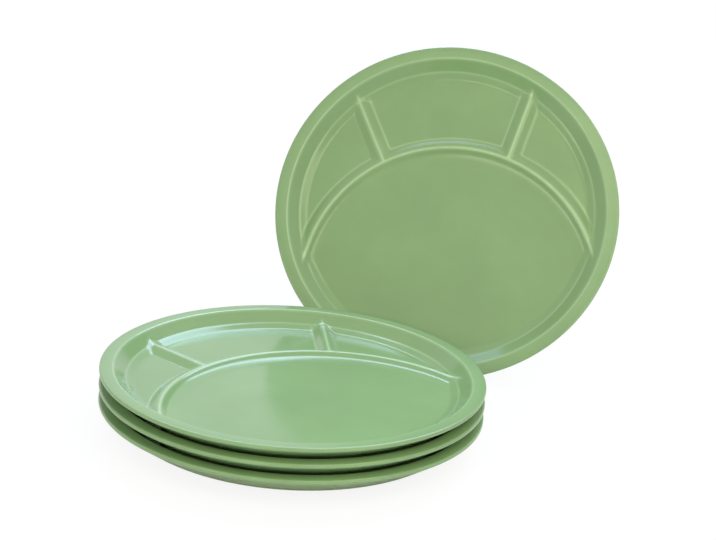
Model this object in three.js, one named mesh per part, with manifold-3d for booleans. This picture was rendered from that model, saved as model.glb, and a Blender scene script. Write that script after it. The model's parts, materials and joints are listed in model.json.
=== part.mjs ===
// Set of four divided fondue plates: three in a stack, the fourth standing behind it and leaning back.
// Each plate is one moulding: a flat rim, a sloping wall and a flat floor. An arc divider parts the main well from
// the sauce wells, and two side dividers part the sauce wells. The foot ring underneath is broken over the
// dividers, so that it stands on the floors of the wells when plates are stacked.
// Millimetres, +Z up, seen from -Y. The origin is the middle of the whole set's box, on the table.

import * as THREE from 'three';
import { mergeVertices } from 'three/addons/utils/BufferGeometryUtils.js';
import Module from 'manifold-3d';

// Plate: rim, wall and floor
const PLATE_DIAMETER = 250;
const RIM_WIDTH = 8.8;
const RIM_EDGE = 2.4;
const RIM_INNER_ROUND = 0.9;
const RIM_OUTER_ROUND = 1.2;
const WELL_DEPTH = 10.2;
const WALL_RUN = 11.7;
const OUTER_WALL_RUN = 19.8;
const HEEL_ROUND = 3;
const FLOOR_THICKNESS = 5.8;
const FLOOR_FILLET = 3.5;

// Dividers: crest, sloping faces and layout
const DIVIDER_HEIGHT = 3.7;
const DIVIDER_CREST = 3.2;
const DIVIDER_FACE = 6.2;
const DIVIDER_ROUND = 0.8;
const DIVIDER_ROOT = 1;
const ARC_RADIUS = 107.7;
const ARC_CENTRE_OFFSET = 58.7;
const SIDE_DIVIDER_ANGLE = 25;
const SIDE_DIVIDER_LEAN = 20.8;

// Foot ring, and its room above and beside the dividers of the plate below
const FOOT_DIAMETER = 180;
const FOOT_WIDTH = 6;
const FOOT_FLARE = 1.5;
const FOOT_CLEARANCE = 0.5;
const NOTCH_CLEARANCE = 1.5;

// Arrangement of the set
const STACK_NAMES = ['bottom_plate', 'middle_plate', 'top_plate'];
const STACK_TURN = 35.6;
const STACK_GAP = 0.3;
const STANDING_LEAN = 31.2;
const STANDING_BEARING = 22.8;
const STANDING_TURN = 7.7;
const STANDING_GAP = 0.5;

// Fineness of round surfaces
const LATHE_STEPS = 60;
const ARC_STEPS = 120;
const ROUND_STEPS = 2;
const RIM_SAMPLES = 360;

// Glossy sage green moulding compound
const PLATE_COLOUR = 0x87a26d;
const PLATE_ROUGHNESS = 0.2;

const { degToRad: radians, mapLinear } = THREE.MathUtils;
const wasm = await Module();
wasm.setup();

// Levels and radii that follow from the driving sizes
const plateRadius = PLATE_DIAMETER / 2;
const footHeight = DIVIDER_HEIGHT + FOOT_CLEARANCE;
const floorLevel = footHeight + FLOOR_THICKNESS;
const crestLevel = floorLevel + DIVIDER_HEIGHT;
const rimLevel = floorLevel + WELL_DEPTH;
const lipLevel = rimLevel - RIM_EDGE;
const rimInnerRadius = plateRadius - RIM_WIDTH;
const floorRadius = rimInnerRadius - WALL_RUN;
const heelRadius = plateRadius - OUTER_WALL_RUN;
const dividerHalfWidth = DIVIDER_CREST / 2 + DIVIDER_FACE;
const stackPitch = floorLevel + STACK_GAP;

// Radius of the wall's inner and outer faces at a height above the table.
function innerWallRadius(height) {
  return mapLinear(height, floorLevel, rimLevel, floorRadius, rimInnerRadius);
}

function outerWallRadius(height) {
  return mapLinear(height, footHeight, lipLevel, heelRadius, plateRadius);
}

// Outline through [x, y, round] corners, each cut back by its round and bridged with a curve.
function roundedOutline(corners) {
  const path = new THREE.Path();
  corners.forEach(([x, y, round], index) => {
    const corner = new THREE.Vector2(x, y);
    const before = corners[index - 1];
    const after = corners[index + 1];
    if (!before) {
      path.moveTo(x, y);
      return;
    }
    if (!round || !after) {
      path.lineTo(x, y);
      return;
    }
    const inward = new THREE.Vector2(before[0], before[1]).sub(corner).setLength(round);
    const onward = new THREE.Vector2(after[0], after[1]).sub(corner).setLength(round);
    path.lineTo(x + inward.x, y + inward.y);
    path.quadraticCurveTo(x, y, x + onward.x, y + onward.y);
  });
  return path.getPoints(ROUND_STEPS);
}

// Solid of revolution about Z from an outline of radius and height.
function turned(outline, steps) {
  return new THREE.LatheGeometry(outline, steps).rotateX(Math.PI / 2);
}

// Closed geometry to a solid: shared corners merged, triangles of no area at the poles dropped.
function toSolid(geometry) {
  geometry.deleteAttribute('normal');
  geometry.deleteAttribute('uv');
  const merged = mergeVertices(geometry, 1e-4);
  const corners = [];
  const index = merged.index.array;
  for (let i = 0; i < index.length; i += 3) {
    const [a, b, c] = index.subarray(i, i + 3);
    if (a !== b && b !== c && c !== a) corners.push(a, b, c);
  }
  return new wasm.Manifold(new wasm.Mesh({
    numProp: 3,
    vertProperties: merged.attributes.position.array,
    triVerts: new Uint32Array(corners),
  }));
}

function toGeometry(solid) {
  const mesh = solid.getMesh();
  const geometry = new THREE.BufferGeometry();
  geometry.setAttribute('position', new THREE.BufferAttribute(mesh.vertProperties, mesh.numProp));
  geometry.setIndex(new THREE.BufferAttribute(mesh.triVerts, 1));
  geometry.computeVertexNormals();
  return geometry;
}

// Bowl of the plate: underside from the axis out, up the outer wall, over the rim and back down to the floor.
function bowl() {
  return toSolid(turned(roundedOutline([
    [0, footHeight],
    [heelRadius, footHeight, HEEL_ROUND],
    [plateRadius, lipLevel],
    [plateRadius, rimLevel, RIM_OUTER_ROUND],
    [rimInnerRadius, rimLevel, RIM_INNER_ROUND],
    [floorRadius, floorLevel, FLOOR_FILLET],
    [0, floorLevel],
  ]), LATHE_STEPS));
}

// Cross-section of a divider about its centre line, from its root in the floor over the crest.
function dividerSection(centre) {
  const crest = DIVIDER_CREST / 2;
  const root = floorLevel - DIVIDER_ROOT;
  return roundedOutline([
    [centre - dividerHalfWidth, root],
    [centre + dividerHalfWidth, root],
    [centre + dividerHalfWidth, floorLevel],
    [centre + crest, crestLevel, DIVIDER_ROUND],
    [centre - crest, crestLevel, DIVIDER_ROUND],
    [centre - dividerHalfWidth, floorLevel],
    [centre - dividerHalfWidth, root],
  ]);
}

// Cross-section of the notch that the foot leaves for a divider of the plate below.
function notchSection(centre) {
  const reach = dividerHalfWidth + NOTCH_CLEARANCE;
  return roundedOutline([
    [centre - reach, -DIVIDER_ROOT],
    [centre + reach, -DIVIDER_ROOT],
    [centre + reach, floorLevel],
    [centre - reach, floorLevel],
    [centre - reach, -DIVIDER_ROOT],
  ]);
}

// Whole ring about the arc's centre, of which the plate keeps the stretch inside its wall.
function arcDivider(section) {
  return toSolid(turned(section(ARC_RADIUS), ARC_STEPS).translate(0, -ARC_CENTRE_OFFSET, 0));
}

// Straight bar that starts on the arc's crest, to the left for a side of 1, and leans out past the wall.
function sideDivider(section, side) {
  const bar = new THREE.ExtrudeGeometry(new THREE.Shape(section(0)), {
    depth: PLATE_DIAMETER,
    bevelEnabled: false,
  });
  bar.rotateX(Math.PI / 2).rotateZ(Math.PI + side * radians(SIDE_DIVIDER_LEAN - SIDE_DIVIDER_ANGLE));
  bar.translate(0, ARC_RADIUS, 0);
  bar.rotateZ(side * radians(SIDE_DIVIDER_ANGLE)).translate(0, -ARC_CENTRE_OFFSET, 0);
  return toSolid(bar);
}

// Arc and side dividers, or what follows their lines, of one cross-section.
function dividers(section) {
  return [-1, 1].reduce((joined, side) => joined.add(sideDivider(section, side)), arcDivider(section));
}

// Space that dividers may fill: the wells, out to the middle of the wall.
function dividerSpace() {
  const middleRadius = (height) => (innerWallRadius(height) + outerWallRadius(height)) / 2;
  const low = floorLevel - 2 * DIVIDER_ROOT;
  const high = crestLevel + DIVIDER_ROOT;
  return toSolid(turned([
    new THREE.Vector2(0, low),
    new THREE.Vector2(middleRadius(low), low),
    new THREE.Vector2(middleRadius(high), high),
    new THREE.Vector2(0, high),
  ], LATHE_STEPS));
}

// Foot ring that flares up into the floor, with the notches cut out of it.
function footArcs() {
  const outer = FOOT_DIAMETER / 2;
  const inner = outer - FOOT_WIDTH;
  const root = footHeight + FLOOR_THICKNESS / 2;
  const ring = turned(roundedOutline([
    [inner, 0],
    [outer, 0],
    [outer + FOOT_FLARE, footHeight],
    [outer + FOOT_FLARE, root],
    [inner - FOOT_FLARE, root],
    [inner - FOOT_FLARE, footHeight],
    [inner, 0],
  ]), LATHE_STEPS);
  return toSolid(ring).subtract(dividers(notchSection));
}

function plateGeometry() {
  return toGeometry(bowl().add(dividers(dividerSection).intersect(dividerSpace())).add(footArcs()));
}

const plate = plateGeometry();

// One named plate whose own origin is the middle of its foot, turned about its own axis.
function plateMesh(name, turn) {
  const mesh = new THREE.Mesh(plate, new THREE.MeshStandardMaterial({
    color: PLATE_COLOUR,
    roughness: PLATE_ROUGHNESS,
    metalness: 0,
  }));
  mesh.name = name;
  mesh.rotation.z = radians(turn);
  return mesh;
}

// Three plates, the foot of each on the floors of the wells below it.
function stack() {
  const group = new THREE.Group();
  STACK_NAMES.forEach((name, layer) => {
    const mesh = plateMesh(name, STACK_TURN);
    mesh.position.z = layer * stackPitch;
    group.add(mesh);
  });
  return group;
}

// Outer radius of the stack at a height: the lowest wall, then the rims above it.
function stackRadius(height) {
  const top = rimLevel + (STACK_NAMES.length - 1) * stackPitch;
  if (height > top) return 0;
  return height < lipLevel ? outerWallRadius(Math.max(height, footHeight)) : plateRadius;
}

// Least distance along a bearing at which a point, offset from the plate's centre, clears the stack.
function clearDistance(bearing, offset) {
  const along = bearing.x * offset.x + bearing.y * offset.y;
  const reach = stackRadius(offset.z) + STANDING_GAP;
  const span = along ** 2 - offset.x ** 2 - offset.y ** 2 + reach ** 2;
  return span > 0 ? Math.sqrt(span) - along : 0;
}

// Fourth plate: leaned back about its rim's centre, lowest point on the table, as near the stack as its gap allows.
function standingPlate() {
  const mesh = plateMesh('standing_plate', STANDING_TURN);
  mesh.position.z = -rimLevel;
  const tilt = new THREE.Group().add(mesh);
  tilt.rotation.x = Math.PI / 2 - radians(STANDING_LEAN);
  const group = new THREE.Group().add(tilt);
  group.position.z = -new THREE.Box3().setFromObject(group, true).min.z;
  group.updateMatrixWorld(true);

  const edges = [[rimInnerRadius, 0], [plateRadius, 0], [plateRadius, -RIM_EDGE]];
  const bearing = new THREE.Vector2(0, 1).rotateAround(new THREE.Vector2(), -radians(STANDING_BEARING));
  const distances = edges.flatMap(([radius, depth]) => Array.from({ length: RIM_SAMPLES }, (_, step) => {
    const angle = 2 * Math.PI * step / RIM_SAMPLES;
    const point = new THREE.Vector3(radius * Math.cos(angle), radius * Math.sin(angle), depth);
    return clearDistance(bearing, point.applyMatrix4(tilt.matrixWorld));
  }));
  const distance = Math.max(...distances);
  group.position.x = bearing.x * distance;
  group.position.y = bearing.y * distance;
  return group;
}

const plateSet = new THREE.Group().add(stack(), standingPlate());
const middle = new THREE.Box3().setFromObject(plateSet, true).getCenter(new THREE.Vector3());
plateSet.position.set(-middle.x, -middle.y, 0);

export default plateSet;
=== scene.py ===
# Set of four divided fondue plates in glossy sage green melamine, in a white studio.
# Three plates lie in a stack, and the fourth stands behind it and leans back. Metres, +Z up, seen from -Y.

import json

import bpy
import numpy as np
from bpy.props import FloatProperty, FloatVectorProperty, PointerProperty
from mathutils import Matrix, Vector


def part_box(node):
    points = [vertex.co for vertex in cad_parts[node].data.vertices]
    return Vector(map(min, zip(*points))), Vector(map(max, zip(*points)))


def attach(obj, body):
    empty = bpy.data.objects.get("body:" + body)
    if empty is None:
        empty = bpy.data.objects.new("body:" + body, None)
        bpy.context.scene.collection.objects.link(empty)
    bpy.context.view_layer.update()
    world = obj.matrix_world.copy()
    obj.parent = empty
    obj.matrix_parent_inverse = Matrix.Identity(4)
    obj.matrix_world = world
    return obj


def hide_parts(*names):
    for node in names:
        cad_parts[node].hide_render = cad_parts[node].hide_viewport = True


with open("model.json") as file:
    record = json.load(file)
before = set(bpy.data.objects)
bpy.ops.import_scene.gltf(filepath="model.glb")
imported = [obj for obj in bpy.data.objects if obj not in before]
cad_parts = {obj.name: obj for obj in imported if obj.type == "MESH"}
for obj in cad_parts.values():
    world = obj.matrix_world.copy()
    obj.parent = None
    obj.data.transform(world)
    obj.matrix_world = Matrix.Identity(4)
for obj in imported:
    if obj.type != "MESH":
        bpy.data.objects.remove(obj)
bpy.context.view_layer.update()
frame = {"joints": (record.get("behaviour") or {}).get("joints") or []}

bl_info = {
    "name": "Divided Fondue Plates",
    "version": (1, 0, 0),
    "blender": (4, 5, 0),
    "location": "3D View > Sidebar > Plates",
    "description": "Moulds a set of divided fondue plates and sets them in a white studio",
    "category": "Object",
}

# Nodes of the frame
STACK_NODES = ("bottom_plate", "middle_plate", "top_plate")
STANDING_NODE = "standing_plate"

# Picture's width in pixels and camera's sensor in millimetres
IMAGE_WIDTH = 716
SENSOR_WIDTH = 36.0

# Metres in a millimetre, a length that counts as nothing, and the points kept beside each round
MM = 0.001
TINY = MM * MM
HOLD = 0.2 * MM

# Fineness of a plate's grid
RINGS_IN_WELLS = 112
POINTS_ROUND = 560
FOOT_RING_STEP = 0.7 * MM

# Rings that close the floor and the underside: share of the radius, and one point in how many
FLOOR_RINGS = ((0.6, 4), (0.25, 16))
UNDERSIDE_RINGS = ((0.7, 4), (0.3, 16))

# Angles from the middle line where points lie close: arc and side dividers meet the wall there
ARC_END, ARC_END_SPREAD = np.radians(104), np.radians(9)
SIDE_END_TURN, SIDE_END_SPREAD = np.radians(18), np.radians(8)
DIVIDED_SPAN = np.radians(114)

# Strength of the painted highlights, pale lines along moulded edges
FOOT_HIGHLIGHT_SHARE = 0.6
LEDGE_HIGHLIGHT_SHARE = 0.4
RIM_HIGHLIGHT_SHARE = 0.6


def length(name, description, millimetres):
    """Length property whose default is given in millimetres."""
    return FloatProperty(
        name=name, description=description, default=millimetres * MM, unit="LENGTH", precision=5
    )


def angle(name, description, degrees):
    """Angle property whose default is given in degrees."""
    return FloatProperty(name=name, description=description, default=np.radians(degrees), subtype="ANGLE")


def colour(name, description, red, green, blue):
    """Linear colour property."""
    return FloatVectorProperty(
        name=name, description=description, default=(red, green, blue), subtype="COLOR", min=0.0, max=1.0
    )


class FonduePlateSizes(bpy.types.PropertyGroup):
    """Sizes of one plate"""

    diameter: length("Diameter", "Across the rim", 250)
    rim_width: length("Rim width", "Flat top of the rim", 8.8)
    rim_edge: length("Rim edge", "Height of the rim's outer side", 2.4)
    rim_inner_round: length("Inner rim round", "Round between rim and wall", 0.9)
    rim_outer_round: length("Outer rim round", "Round at the rim's upper outer edge", 1.2)
    rim_lower_round: length("Lower rim round", "Round at the rim's lower outer edge", 0.8)
    well_depth: length("Well depth", "Rim down to the floors", 10.2)
    ledge_depth: length("Ledge depth", "Rim down to the ledge above the wells", 7.3)
    wall_run: length("Wall run", "Wall from rim to ledge, in plan", 8)
    ledge_width: length("Ledge width", "Ledge between wall and wells", 0.5)
    well_face: length("Well face", "Sloping face from ledge to floor, in plan", 5)
    ledge_round: length("Ledge round", "Half width of the rounds at the ledge's edges", 0.5)
    floor_round: length("Floor round", "Half width of the hollow along the floor's edge", 1.1)
    outer_wall_run: length("Outer wall run", "Outer wall from rim to heel, in plan", 19.8)
    heel_round: length("Heel round", "Round between outer wall and underside", 3)
    floor_thickness: length("Floor thickness", "Floor of the wells above the underside", 5.8)

    divider_height: length("Divider height", "Crest above the floors", 3.7)
    divider_crest: length("Divider crest", "Width of the crest", 3.2)
    divider_face: length("Divider face", "Sloping face, in plan", 6.2)
    crest_round: length("Crest round", "Half width of the round at a crest's edge", 1.5)
    main_step: length("Main well step", "Steep height of the arc above its apron in the main well", 1.9)
    main_step_run: length("Main well step run", "That step, in plan", 2.2)
    main_apron: length("Main well apron", "Gentle rise from the main well's floor to the arc, in plan", 12)
    # Painted highlight: half width of the pale line painted along crests, foot lines, the ledge and the rim
    highlight_half_width: length("Edge line", "Half width of the pale line along a moulded edge", 0.9)
    divider_blend: length("Divider blend", "Height of its blend into a sauce well's floor", 0.8)
    wall_blend: length("Wall blend", "Height of a divider's blend into the wall", 3)
    corner_round: length("Corner round", "Reach of the round where a side divider meets the arc", 2)
    arc_radius: length("Arc radius", "Centre line of the arc divider", 107.7)
    arc_offset: length("Arc offset", "Arc's centre from the plate's centre", 58.7)
    side_angle: angle("Side divider angle", "Start of a side divider, about the arc's centre", 25)
    side_lean: angle("Side divider lean", "Direction of a side divider from the middle line", 20.8)

    foot_diameter: length("Foot diameter", "Outer edge of the foot", 180)
    foot_width: length("Foot width", "Flat that stands on the table", 6)
    foot_flare: length("Foot flare", "Widening of the foot up to the underside, each side", 1.5)
    foot_round: length("Foot round", "Half width of the rounds at the foot's edges", 0.4)
    foot_clearance: length("Foot clearance", "Underside above the crests of a plate below", 0.5)
    notch_clearance: length("Notch clearance", "Foot's notch beside a divider of a plate below", 1.5)

    stack_turn: angle("Stack turn", "Plates in the stack about their own axis", 35.6)
    standing_turn: angle("Standing turn", "Standing plate about its own axis", 7.7)


class FonduePlateFinish(bpy.types.PropertyGroup):
    """Looks of the melamine"""

    green: colour("Green", "Colour of the moulding", 0.235, 0.358, 0.165)
    # Colour of the painted highlights along moulded edges
    pale: colour("Pale green", "Colour along moulded edges", 0.45, 0.60, 0.36)
    roughness: FloatProperty(name="Roughness", description="Gloss of the surface", default=0.14, min=0, max=1)


class FondueStudio(bpy.types.PropertyGroup):
    """Camera and light"""

    camera_place: FloatVectorProperty(
        name="Camera place", description="Camera from the stack's axis", default=(0.16778, -1.06097, 0.46162),
        subtype="TRANSLATION", precision=5,
    )
    camera_heading: angle("Camera heading", "Camera turned left of +Y", 7.033)
    camera_pitch: angle("Camera pitch", "Camera looking down", 18.058)
    camera_roll: angle("Camera roll", "Camera rolled about its own axis", 4.22)
    focal_pixels: FloatProperty(name="Focal length", description="In pixels of the picture", default=1777)
    surround: colour("Surround", "Soft light from overhead and all round", 0.34, 0.37, 0.38)
    sky_tint: colour("Sky tint", "Colour of the sheet of light behind the plates", 0.50, 0.68, 1.0)
    sky_power: FloatProperty(name="Sky power", description="Watts of that sheet", default=55)
    key_tint: colour("Key tint", "Colour of the front lamps", 1.0, 1.0, 0.66)
    key_power: FloatProperty(name="Key power", description="Watts of the high front lamp", default=9)
    fill_power: FloatProperty(name="Fill power", description="Watts of the low front lamp", default=13)


def eased(distance, reach):
    """Ramp max(distance, 0), its corner replaced by a parabola from -reach to +reach."""
    bend = (np.clip(distance, -reach, reach) + reach) ** 2 / (4 * reach)
    return np.where(distance > reach, distance, bend)


def eased_step(distance, width, near, far):
    """Rise from 0 to 1 over a width, eased by near at its start and by far at its end."""
    return (eased(distance, near) - eased(distance - width, far)) / width


def least(first, second, reach):
    """Lesser of two values, blended by a parabola where they differ by less than the reach."""
    overlap = np.clip(reach - np.abs(first - second), 0, None)
    return np.minimum(first, second) - overlap**2 / (4 * np.maximum(reach, TINY))


def most(first, second, reach):
    """Greater of two values, blended in the same way."""
    return -least(-first, -second, reach)


def plate_levels(sizes):
    """Heights of underside, floors, rim and lip above the table."""
    underside = sizes.divider_height + sizes.foot_clearance
    floor = underside + sizes.floor_thickness
    rim = floor + sizes.well_depth
    return underside, floor, rim, rim - sizes.rim_edge


def divider_distances(sizes, x, y):
    """Distances in plan from the edges of the arc's crest and of the nearer side divider's crest.

    The arc is a circle about a centre in front of the plate's own. A side divider is a ray that starts on
    the arc, and its distance is that of a point from the ray. Two more distances follow, from the arc and
    from the side divider's line, each positive on its outer side.
    """
    from_arc = np.hypot(x, y + sizes.arc_offset) - sizes.arc_radius
    beside = np.abs(x) - sizes.arc_radius * np.sin(sizes.side_angle)
    beyond = y + sizes.arc_offset - sizes.arc_radius * np.cos(sizes.side_angle)
    along = beside * np.sin(sizes.side_lean) + beyond * np.cos(sizes.side_lean)
    across = beside * np.cos(sizes.side_lean) - beyond * np.sin(sizes.side_lean)
    from_side = np.hypot(across, np.minimum(along, 0))
    half = sizes.divider_crest / 2
    return np.abs(from_arc) - half, from_side - half, from_arc, across


def bowl_lines(sizes):
    """Radii of the floor's edge and of the ledge's inner and outer edges."""
    outer = sizes.diameter / 2 - sizes.rim_width - sizes.wall_run
    inner = outer - sizes.ledge_width
    return inner - sizes.well_face, inner, outer


def bowl_height(sizes, radii):
    """Height of floor, well face, ledge and wall at a radius: straight stretches with eased corners."""
    floor_edge, inner, outer = bowl_lines(sizes)
    face = (sizes.well_depth - sizes.ledge_depth) / sizes.well_face
    wall = sizes.ledge_depth / sizes.wall_run
    rise = face * (eased(radii - floor_edge, sizes.floor_round) - eased(radii - inner, sizes.ledge_round))
    return plate_levels(sizes)[1] + rise + wall * eased(radii - outer, sizes.ledge_round)


def divider_height(sizes, x, y):
    """Height of the dividers above the floors, and how near a point is to a crest or a foot line, 0 to 1, for
    a painted highlight.

    In the sauce wells a divider falls from its crest by a straight slope, which goes on below the floor.
    In the main well the arc falls by a steep step on top of an apron, whose height goes with
    (1 - distance / apron)**1.5. The last value says whether a point lies behind the arc.
    """
    arc, side, from_arc, across = divider_distances(sizes, x, y)
    behind = from_arc > 0
    nearest = np.where(behind, least(arc, side, sizes.corner_round), arc)
    fall = eased(nearest, sizes.crest_round)
    straight = sizes.divider_height * (1 - fall / sizes.divider_face)
    stepped = eased_step(nearest, sizes.main_step_run, sizes.crest_round, sizes.crest_round)
    step = sizes.main_step * (1 - stepped)
    apron = (sizes.divider_height - sizes.main_step) * np.clip(1 - fall / sizes.main_apron, 0, 1) ** 1.5
    # Painted highlight along the crests' edges and, behind the arc, along the foot lines
    crest_highlight = np.exp(-(((nearest + sizes.divider_crest / 2) / sizes.highlight_half_width) ** 2))
    lined = behind & ((arc < side) | (across < 0))
    foot_highlight = np.exp(-((straight / sizes.highlight_half_width * 2) ** 2)) * lined
    nearness = np.maximum(crest_highlight, FOOT_HIGHLIGHT_SHARE * foot_highlight)
    return np.where(behind, straight, step + apron), nearness, behind


def well_height(sizes, x, y):
    """Height of the plate's upper side inside the rim, and its nearness to a moulded edge, which sets a
    painted highlight.

    It is the greater of bowl and dividers, blended in the sauce wells and where a divider runs into the wall.
    """
    floor = plate_levels(sizes)[1]
    bowl = bowl_height(sizes, np.hypot(x, y))
    raised, nearness, behind = divider_height(sizes, x, y)
    on_wall = np.clip((bowl - floor) / sizes.wall_blend, 0, 1)
    blend = np.maximum(sizes.divider_blend * behind, sizes.wall_blend * on_wall)
    # Painted highlight along the ledge's inner edge
    ledge_highlight = np.exp(-(((np.hypot(x, y) - bowl_lines(sizes)[1]) / sizes.ledge_round) ** 2))
    clear = np.clip(1 - (bowl - floor - raised) / sizes.wall_blend, 0, 1)
    nearness = np.maximum(clear * nearness, (1 - clear) * LEDGE_HIGHLIGHT_SHARE * ledge_highlight)
    return most(bowl, floor + raised, blend), nearness


def foot_relief(sizes, x, y):
    """Depth of the foot below the underside: a flared ring, notched along the dividers' lines."""
    arc, side, _, _ = divider_distances(sizes, x, y)
    middle = (sizes.foot_diameter - sizes.foot_width) / 2
    beside = sizes.foot_width / 2 + sizes.foot_flare - np.abs(np.hypot(x, y) - middle)
    notch = np.minimum(arc, side) - sizes.divider_face - sizes.notch_clearance
    inside = np.minimum(beside, notch)
    return plate_levels(sizes)[0] * eased_step(inside, sizes.foot_flare, sizes.foot_round, sizes.foot_round)


def rounded(corners, steps=5):
    """Outline through (radius, height, round) corners, each cut back by its round and bridged by a parabola.

    One more point on either side of a parabola keeps the straight stretches flat under smooth shading.
    """
    points = np.array([corner[:2] for corner in corners])
    outline = [points[:1]]
    blend = np.linspace(0, 1, steps)[:, None]
    for before, corner, after, (*_, cut) in zip(points, points[1:], points[2:], corners[1:-1]):
        back = (before - corner) / np.linalg.norm(before - corner)
        on = (after - corner) / np.linalg.norm(after - corner)
        start, end = corner + cut * back, corner + cut * on
        bend = (1 - blend) ** 2 * start + 2 * blend * (1 - blend) * corner + blend**2 * end
        outline += [[start + HOLD * back], bend, [end + HOLD * on]]
    outline.append(points[-1:])
    return np.concatenate(outline)


def plate_profile(sizes):
    """Radius and height of each ring of the plate's grid, from the floor over the rim to the underside.

    Rings lie close together inside the rim and under the foot, and follow the rounded outline elsewhere.
    Those inside the rim carry the height of the bowl, and those of the foot the height of the underside.
    """
    underside, _, rim, lip = plate_levels(sizes)
    radius = sizes.diameter / 2
    rim_inner = radius - sizes.rim_width
    heel = radius - sizes.outer_wall_run
    foot = sizes.foot_diameter / 2 + sizes.foot_flare
    well_start = sizes.arc_radius - sizes.arc_offset - sizes.main_apron - sizes.divider_crest
    wall_end = rim_inner - 2 * sizes.rim_inner_round
    wells = np.linspace(well_start, wall_end, RINGS_IN_WELLS)
    edge = rounded([
        (wells[-2], bowl_height(sizes, wells[-2]), 0),
        (rim_inner, rim, sizes.rim_inner_round),
        (radius, rim, sizes.rim_outer_round),
        (radius, lip, sizes.rim_lower_round),
        (heel, underside, sizes.heel_round),
        (foot + MM, underside, 0),
    ])
    foot_inner = foot - sizes.foot_width - 2 * sizes.foot_flare
    under = np.arange(foot + MM / 2, foot_inner - MM, -FOOT_RING_STEP)
    top = np.column_stack([wells, bowl_height(sizes, wells)])
    under = np.column_stack([under, np.full_like(under, underside)])
    return np.concatenate([top, edge[1:], under])


def ring_angles(sizes):
    """Angles round the plate, closest at the dividers' ends and widest in front.

    They share out evenly the integral of a density, which peaks where a divider meets the wall.
    """
    fine = np.linspace(-np.pi / 2, 1.5 * np.pi, 4001)
    across = np.abs(fine - np.pi / 2)
    side_end = sizes.side_angle + SIDE_END_TURN
    at_arc = np.exp(-(((across - ARC_END) / ARC_END_SPREAD) ** 2))
    at_side = np.exp(-(((across - side_end) / SIDE_END_SPREAD) ** 2))
    density = 0.4 + 0.5 * (across < DIVIDED_SPAN) + 1.5 * at_side + 1.8 * at_arc
    share = np.concatenate([[0], np.cumsum((density[1:] + density[:-1]) / 2)])
    return np.interp(np.linspace(0, share[-1], POINTS_ROUND, endpoint=False), share, fine)


def cap_faces(outer, inner):
    """Triangles between a ring of vertex numbers and one with a quarter as many inside it."""
    outer = np.append(outer, outer[0])
    start = np.arange(0, len(outer) - 1, 4)
    here, after = inner, np.roll(inner, -1)
    near = [(here, outer[start + k], outer[start + k + 1]) for k in (0, 1)]
    far = [(after, outer[start + k], outer[start + k + 1]) for k in (2, 3)]
    middle = [(here, outer[start + 2], after)]
    return np.concatenate([np.column_stack(corners) for corners in near + middle + far])


def plate_surface(sizes):
    """Vertices, faces and edge nearness of one plate that stands on its foot at the origin; the nearness sets
    painted highlights.

    The surface is a grid of rings round the profile. Its upper side follows well_height, and foot_relief is
    taken off its underside for the foot. Two smaller rings and a middle point close the flat floor, and
    likewise the underside.
    """
    profile = plate_profile(sizes)
    underside, floor, _, _ = plate_levels(sizes)
    angles = ring_angles(sizes)
    caps = [(profile[0, 0] * share, floor, angles[::skip]) for share, skip in FLOOR_RINGS]
    caps += [(profile[-1, 0] * share, underside, angles[::skip]) for share, skip in UNDERSIDE_RINGS]
    cap_radii = [np.full(len(a), r) for r, _, a in caps]
    cap_heights = [np.full(len(a), z) for _, z, a in caps]
    radii = np.concatenate([np.repeat(profile[:, 0], POINTS_ROUND), *cap_radii, [0, 0]])
    heights = np.concatenate([np.repeat(profile[:, 1], POINTS_ROUND), *cap_heights, [floor, underside]])
    turns = np.concatenate([np.tile(angles, len(profile)), *[a for _, _, a in caps], [0, 0]])
    x, y = radii * np.cos(turns), radii * np.sin(turns)

    well, nearness = well_height(sizes, x, y)
    rim_inner = sizes.diameter / 2 - sizes.rim_width
    inside_rim = (heights >= floor - TINY) & (radii < rim_inner - sizes.rim_inner_round)
    below = heights <= underside + TINY
    z = np.where(inside_rim, well, heights) - np.where(below, foot_relief(sizes, x, y), 0)
    # Painted highlight along the rim's inner edge; edge holds the strongest painted edge highlight at each
    # point
    rim_highlight = np.exp(-(((radii - rim_inner) / sizes.rim_inner_round) ** 2)) * (heights > floor)
    edge = np.maximum(np.where(inside_rim, nearness, 0), RIM_HIGHLIGHT_SHARE * rim_highlight)

    grid = np.arange(len(profile) * POINTS_ROUND).reshape(len(profile), POINTS_ROUND)
    after = np.roll(grid, -1, axis=1)
    quads = np.stack([grid[:-1], grid[1:], after[1:], after[:-1]], axis=-1).reshape(-1, 4)
    first = grid.size
    rings = []
    for _, _, cap_angles in caps:
        rings.append(np.arange(first, first + len(cap_angles)))
        first += len(cap_angles)
    triangles = []
    for outer, middle, inner, pole, flip in (
        (grid[0], rings[0], rings[1], first, 1),
        (grid[-1], rings[2], rings[3], first + 1, -1),
    ):
        fan = np.column_stack([np.full_like(inner, pole), inner, np.roll(inner, -1)])
        triangles += [faces[:, ::flip] for faces in (cap_faces(outer, middle), cap_faces(middle, inner), fan)]
    faces = quads.tolist() + np.concatenate(triangles).tolist()
    return np.column_stack([x, y, z]), faces, edge


def plate_object(node, points, faces, edge, material):
    """Mesh object of a plate in its place, riding on its node's body in the node's stead."""
    mesh = bpy.data.meshes.new(f"{node}_moulding")
    mesh.from_pydata(points.tolist(), [], faces)
    mesh.shade_smooth()
    # Attribute that carries the painted edge highlights to the material
    mesh.attributes.new("painted_edge_highlight", "FLOAT", "POINT").data.foreach_set("value", edge.astype(np.float32))
    mesh.materials.append(material)
    mesh.validate()
    plate = bpy.data.objects.new(f"{node}_moulding", mesh)
    bpy.context.scene.collection.objects.link(plate)
    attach(plate, node)
    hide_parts(node)


def moved(points, matrix):
    """Points carried by a 4 x 4 matrix."""
    carried = np.array(matrix)
    return points @ carried[:3, :3].T + carried[:3, 3]


def node_centre(node):
    """Middle of a node's box."""
    low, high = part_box(node)
    return (low + high) / 2


def link_nodes(tree, *pairs):
    """Links (node, output) to (node, input) for each pair."""
    for source, target in pairs:
        tree.links.new(source[0].outputs[source[1]], target[0].inputs[target[1]])


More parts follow.
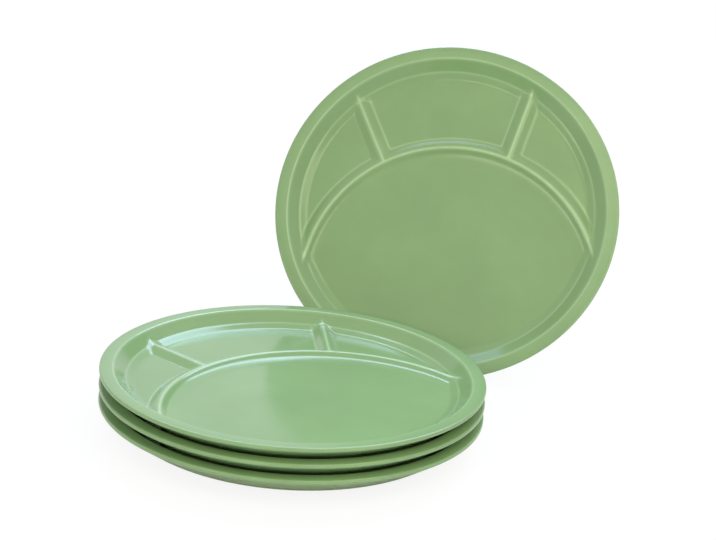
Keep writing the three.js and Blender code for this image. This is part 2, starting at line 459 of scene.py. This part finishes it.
def melamine_material(finish):
    """Glossy sage green: cloudy pigment, painted highlights along moulded edges, uneven polish and a faint
    surface ripple.
    """
    material = bpy.data.materials.get("sage_green_melamine")
    if material:
        return material
    material = bpy.data.materials.new("sage_green_melamine")
    material.use_nodes = True
    tree = material.node_tree
    shader = tree.nodes["Principled BSDF"]
    shader.inputs["IOR"].default_value = 1.5

    place = tree.nodes.new("ShaderNodeTexCoord")
    clouds = tree.nodes.new("ShaderNodeTexNoise")
    clouds.inputs["Scale"].default_value = 22
    clouds.inputs["Detail"].default_value = 4
    pigment = tree.nodes.new("ShaderNodeValToRGB")
    darker, lighter = pigment.color_ramp.elements
    darker.position, lighter.position = 0.3, 0.7
    darker.color = (*[channel * 0.955 for channel in finish.green], 1)
    lighter.color = (*[min(channel * 1.045, 1) for channel in finish.green], 1)

    # Painted highlight: pale green mixed in along moulded edges, made uneven by noise
    edge = tree.nodes.new("ShaderNodeAttribute")
    edge.attribute_name = "painted_edge_highlight"
    polish_and_highlight_noise = tree.nodes.new("ShaderNodeTexNoise")
    polish_and_highlight_noise.inputs["Scale"].default_value = 160
    highlight_unevenness = tree.nodes.new("ShaderNodeMapRange")
    highlight_unevenness.inputs["To Min"].default_value = 0.65
    highlight_share = tree.nodes.new("ShaderNodeMath")
    highlight_share.operation = "MULTIPLY"
    tint = tree.nodes.new("ShaderNodeMix")
    tint.data_type = "RGBA"
    tint.inputs["B"].default_value = (*finish.pale, 1)

    polish = tree.nodes.new("ShaderNodeMapRange")
    polish.inputs["To Min"].default_value = finish.roughness * 0.8
    polish.inputs["To Max"].default_value = finish.roughness * 1.25
    ripple = tree.nodes.new("ShaderNodeTexNoise")
    ripple.inputs["Scale"].default_value = 75
    ripple.inputs["Detail"].default_value = 2
    bump = tree.nodes.new("ShaderNodeBump")
    bump.inputs["Strength"].default_value = 0.05
    bump.inputs["Distance"].default_value = 0.4 * MM

    link_nodes(
        tree,
        ((place, "Object"), (clouds, "Vector")),
        ((place, "Object"), (polish_and_highlight_noise, "Vector")),
        ((place, "Object"), (ripple, "Vector")),
        ((clouds, "Fac"), (pigment, "Fac")),
        ((edge, "Fac"), (highlight_share, 0)),
        ((polish_and_highlight_noise, "Fac"), (highlight_unevenness, "Value")),
        ((highlight_unevenness, "Result"), (highlight_share, 1)),
        ((highlight_share, 0), (tint, "Factor")),
        ((pigment, "Color"), (tint, "A")),
        ((tint, "Result"), (shader, "Base Color")),
        ((polish_and_highlight_noise, "Fac"), (polish, "Value")),
        ((polish, "Result"), (shader, "Roughness")),
        ((ripple, "Fac"), (bump, "Height")),
        ((bump, "Normal"), (shader, "Normal")),
    )
    return material


class FONDUE_OT_stack_plates(bpy.types.Operator):
    """Moulds the three plates of the stack"""

    bl_idname = "fondue.stack_plates"
    bl_label = "Stack Plates"

    def execute(self, context):
        sizes = context.scene.fondue_sizes
        points, faces, edge = plate_surface(sizes)
        material = melamine_material(context.scene.fondue_finish)
        for node in STACK_NODES:
            centre = node_centre(node)
            foot = Vector((centre.x, centre.y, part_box(node)[0].z))
            place = Matrix.Translation(foot) @ Matrix.Rotation(sizes.stack_turn, 4, "Z")
            plate_object(node, moved(points, place), faces, edge, material)
        return {"FINISHED"}


class FONDUE_OT_standing_plate(bpy.types.Operator):
    """Moulds the plate that stands behind the stack, leaning back along its joint's axis"""

    bl_idname = "fondue.standing_plate"
    bl_label = "Standing Plate"

    def execute(self, context):
        sizes = context.scene.fondue_sizes
        points, faces, edge = plate_surface(sizes)
        joint = next(joint for joint in frame["joints"] if joint["child"] == STANDING_NODE)
        _, back, up = joint["axis"]
        lean = Matrix.Rotation(np.arctan2(up, back), 4, "X")
        points = moved(points, lean @ Matrix.Rotation(sizes.standing_turn, 4, "Z"))
        centre = (points.min(axis=0) + points.max(axis=0)) / 2
        points += np.array(node_centre(STANDING_NODE)) - centre
        material = melamine_material(context.scene.fondue_finish)
        plate_object(STANDING_NODE, points, faces, edge, material)
        return {"FINISHED"}


def add_camera(studio):
    """Camera at the photo's place, with its lens axis through the middle of the image."""
    lens = bpy.data.cameras.new("studio_camera")
    lens.sensor_width = SENSOR_WIDTH
    lens.lens = studio.focal_pixels * SENSOR_WIDTH / IMAGE_WIDTH
    lens.clip_end = 50
    camera = bpy.data.objects.new("studio_camera", lens)
    axis = node_centre(STACK_NODES[0])
    place = Matrix.Translation(Vector((axis.x, axis.y, 0)) + Vector(studio.camera_place))
    tilt = Matrix.Rotation(np.pi / 2 - studio.camera_pitch, 4, "X")
    turn = Matrix.Rotation(studio.camera_heading, 4, "Z")
    camera.matrix_world = place @ turn @ tilt @ Matrix.Rotation(studio.camera_roll, 4, "Z")
    bpy.context.scene.collection.objects.link(camera)
    bpy.context.scene.camera = camera


def add_lamp(name, place, target, width, height, power, tint=(1, 1, 1)):
    """Rectangular area lamp aimed at a point."""
    light = bpy.data.lights.new(name, "AREA")
    light.shape = "RECTANGLE"
    light.size = width
    light.size_y = height
    light.energy = power
    light.color = tint
    lamp = bpy.data.objects.new(name, light)
    lamp.location = place
    lamp.rotation_euler = (Vector(target) - Vector(place)).to_track_quat("-Z", "Y").to_euler()
    bpy.context.scene.collection.objects.link(lamp)


def white_in_view(tree, output, plain, white):
    """Sends a white shader to what is seen straight or in a reflection, and a plain one to other light."""
    path = tree.nodes.new("ShaderNodeLightPath")
    seen = tree.nodes.new("ShaderNodeMath")
    seen.operation = "MAXIMUM"
    seen_through = tree.nodes.new("ShaderNodeMath")
    seen_through.operation = "MAXIMUM"
    mix = tree.nodes.new("ShaderNodeMixShader")
    link_nodes(
        tree,
        ((path, "Is Camera Ray"), (seen, 0)),
        ((path, "Is Glossy Ray"), (seen, 1)),
        ((seen, 0), (seen_through, 0)),
        ((path, "Is Transmission Ray"), (seen_through, 1)),
        ((seen_through, 0), (mix, 0)),
        ((plain, 0), (mix, 1)),
        ((white, 0), (mix, 2)),
        ((mix, 0), (output, "Surface")),
    )


def add_surround(studio):
    """World that lights softly, most from overhead, and looks white."""
    world = bpy.data.worlds.new("studio_surround")
    bpy.context.scene.world = world
    world.use_nodes = True
    tree = world.node_tree
    soft = tree.nodes["Background"]
    soft.inputs["Color"].default_value = (*studio.surround, 1)
    ray = tree.nodes.new("ShaderNodeNewGeometry")
    axes = tree.nodes.new("ShaderNodeSeparateXYZ")
    height = tree.nodes.new("ShaderNodeMapRange")
    height.inputs["From Min"].default_value = 0.1
    height.inputs["From Max"].default_value = -1
    height.inputs["To Min"].default_value = 0.2
    height.inputs["To Max"].default_value = 2.3
    link_nodes(
        tree,
        ((ray, "Incoming"), (axes, 0)),
        ((axes, "Z"), (height, "Value")),
        ((height, "Result"), (soft, "Strength")),
    )
    white = tree.nodes.new("ShaderNodeBackground")
    white.inputs["Color"].default_value = (1, 1, 1, 1)
    white_in_view(tree, tree.nodes["World Output"], soft, white)


def floor_material():
    """Pale matt floor that looks white with a faint shadow, and reflects as dark underneath the plates:
    painted shade, glow dimmed by ambient occlusion.
    """
    material = bpy.data.materials.new("studio_white")
    material.use_nodes = True
    tree = material.node_tree
    tree.nodes.remove(tree.nodes["Principled BSDF"])
    matt = tree.nodes.new("ShaderNodeBsdfDiffuse")
    matt.inputs["Color"].default_value = (0.88, 0.88, 0.88, 1)
    shaded = tree.nodes.new("ShaderNodeBsdfDiffuse")
    shaded.inputs["Color"].default_value = (0.97, 0.97, 0.97, 1)
    glow = tree.nodes.new("ShaderNodeEmission")
    glow.inputs["Color"].default_value = (1, 1, 1, 1)
    # Painted shade: ambient occlusion dims the glow under the plates, faintly where seen and fully in
    # reflections
    occlusion_shade = tree.nodes.new("ShaderNodeAmbientOcclusion")
    occlusion_shade.inputs["Distance"].default_value = 40 * MM
    path = tree.nodes.new("ShaderNodeLightPath")
    least_glow = tree.nodes.new("ShaderNodeMapRange")
    least_glow.inputs["To Min"].default_value = 0.88
    least_glow.inputs["To Max"].default_value = 0.0
    glow_share = tree.nodes.new("ShaderNodeMapRange")
    glow_share.inputs["From Min"].default_value = 0.15
    glow_share.inputs["From Max"].default_value = 0.45
    glow_share.inputs["To Max"].default_value = 0.93
    white = tree.nodes.new("ShaderNodeMixShader")
    link_nodes(
        tree,
        ((path, "Is Glossy Ray"), (least_glow, "Value")),
        ((least_glow, "Result"), (glow_share, "To Min")),
        ((occlusion_shade, "AO"), (glow_share, "Value")),
        ((glow_share, "Result"), (white, "Fac")),
        ((shaded, 0), (white, 1)),
        ((glow, 0), (white, 2)),
    )
    white_in_view(tree, tree.nodes["Material Output"], matt, white)
    return material


def add_floor():
    """Floor that reaches past the picture's edges."""
    half = 4.0
    mesh = bpy.data.meshes.new("studio_floor")
    corners = [(-half, -half, 0), (half, -half, 0), (half, half, 0), (-half, half, 0)]
    mesh.from_pydata(corners, [], [(0, 1, 2, 3)])
    mesh.materials.append(floor_material())
    floor = bpy.data.objects.new("studio_floor", mesh)
    bpy.context.scene.collection.objects.link(floor)


class FONDUE_OT_studio(bpy.types.Operator):
    """Sets up the floor, the soft light and the camera"""

    bl_idname = "fondue.studio"
    bl_label = "White Studio"

    def execute(self, context):
        studio = context.scene.fondue_studio
        context.scene.view_settings.view_transform = "Standard"
        add_camera(studio)
        add_surround(studio)
        add_floor()
        aim = (0, 0, 0.1)
        add_lamp("sky_sheet", (0, 1.46, 1.94), aim, 2.0, 1.25, studio.sky_power, studio.sky_tint)
        add_lamp("key_lamp", (0.74, -0.8, 1.1), aim, 1.1, 1.1, studio.key_power, studio.key_tint)
        add_lamp("fill_lamp", (-0.9, -2.0, 1.0), aim, 1.8, 0.9, studio.fill_power, studio.key_tint)
        return {"FINISHED"}


class FONDUE_PT_plates(bpy.types.Panel):
    """Sizes, finish and studio of the plates"""

    bl_label = "Fondue Plates"
    bl_space_type = "VIEW_3D"
    bl_region_type = "UI"
    bl_category = "Plates"

    def draw(self, context):
        for operator in OPERATORS:
            self.layout.operator(operator.bl_idname)
        for group in GROUPS:
            settings = getattr(context.scene, group)
            column = self.layout.column()
            for key in settings.bl_rna.properties.keys():
                if key not in ("rna_type", "name"):
                    column.prop(settings, key)


OPERATORS = (FONDUE_OT_studio, FONDUE_OT_stack_plates, FONDUE_OT_standing_plate)
GROUPS = {
    "fondue_sizes": FonduePlateSizes,
    "fondue_finish": FonduePlateFinish,
    "fondue_studio": FondueStudio,
}


def register():
    for made in (*GROUPS.values(), *OPERATORS, FONDUE_PT_plates):
        bpy.utils.register_class(made)
    for key, group in GROUPS.items():
        setattr(bpy.types.Scene, key, PointerProperty(type=group))


def unregister():
    for key in GROUPS:
        delattr(bpy.types.Scene, key)
    for made in (FONDUE_PT_plates, *reversed(OPERATORS), *reversed(GROUPS.values())):
        bpy.utils.unregister_class(made)


def main():
    register()
    bpy.ops.fondue.studio()
    bpy.ops.fondue.stack_plates()
    bpy.ops.fondue.standing_plate()


if __name__ == "__main__":
    main()
